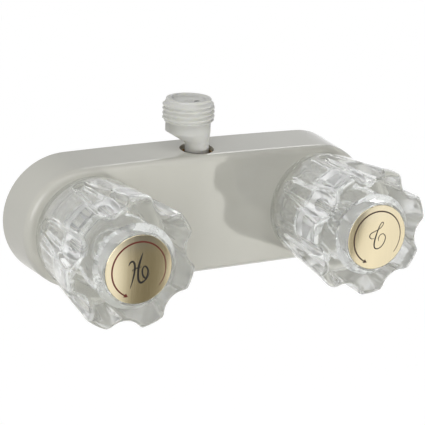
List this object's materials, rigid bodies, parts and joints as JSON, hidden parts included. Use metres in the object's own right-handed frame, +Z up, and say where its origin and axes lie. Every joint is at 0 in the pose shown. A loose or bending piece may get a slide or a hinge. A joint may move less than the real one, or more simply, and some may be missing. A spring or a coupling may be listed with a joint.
{
  "type": "outdoor shower valve",
  "caption": "Wall-mounted outdoor shower valve: moulded cover, clear lobed hot and cold knobs, cast waterway with rear shanks, and an offset vacuum breaker with a hose spout on top.",
  "frame": {"origin": "on the wall plane, midway between the two valve axes", "axes": "+X to the right (cold side) as seen from the front, +Y into the wall, +Z up"},
  "size_m": [0.1556, 0.0947, 0.0729],
  "materials": {
    "cover_plastic": "moulded, glossy bisque",
    "cast_brass": "as cast, machined threads",
    "clear_acrylic": "clear moulded acrylic",
    "satin_brass": "brushed champagne gold with printed mark",
    "steel": "plain",
    "stem_plastic": "natural acetal",
    "black_rubber": "matt",
    "milky_plastic": "milky off-white, satin"
  },
  "bodies": {
    "valve_body": {"cover": "cover_plastic", "waterway": "cast_brass", "hot_bonnet": "stem_plastic", "hot_port_seal": "black_rubber", "hot_seal_spring": "steel", "hot_cover_nut": "stem_plastic", "hot_wall_washer": "steel", "hot_lock_nut": "cast_brass", "cold_bonnet": "stem_plastic", "cold_port_seal": "black_rubber", "cold_seal_spring": "steel", "cold_cover_nut": "stem_plastic", "cold_wall_washer": "steel", "cold_lock_nut": "cast_brass", "breaker_body": "milky_plastic", "breaker_outlet_plate": "milky_plastic", "breaker_neck_rings": "black_rubber", "breaker_clip": "steel"},
    "hot_handle": {"hot_knob": "clear_acrylic", "hot_index_button": "satin_brass", "hot_knob_screw": "steel", "hot_stem": "stem_plastic", "hot_stem_ring": "black_rubber"},
    "cold_handle": {"cold_knob": "clear_acrylic", "cold_index_button": "satin_brass", "cold_knob_screw": "steel", "cold_stem": "stem_plastic", "cold_stem_ring": "black_rubber"},
    "poppet": {"breaker_poppet": "stem_plastic", "breaker_gasket": "black_rubber"}
  },
  "joints": [
    {"name": "hot_turn", "type": "hinge", "parent": "valve_body", "child": "hot_handle", "pos_m": [-0.0508, 0, 0], "axis": [0, -1, 0], "range_deg": [0, 90]},
    {"name": "cold_turn", "type": "hinge", "parent": "valve_body", "child": "cold_handle", "pos_m": [0.0508, 0, 0], "axis": [0, -1, 0], "range_deg": [0, 90]},
    {"name": "poppet_lift", "type": "slide", "parent": "valve_body", "child": "poppet", "axis": [0, 0, 1], "range_m": [0, 0.002]}
  ]
}
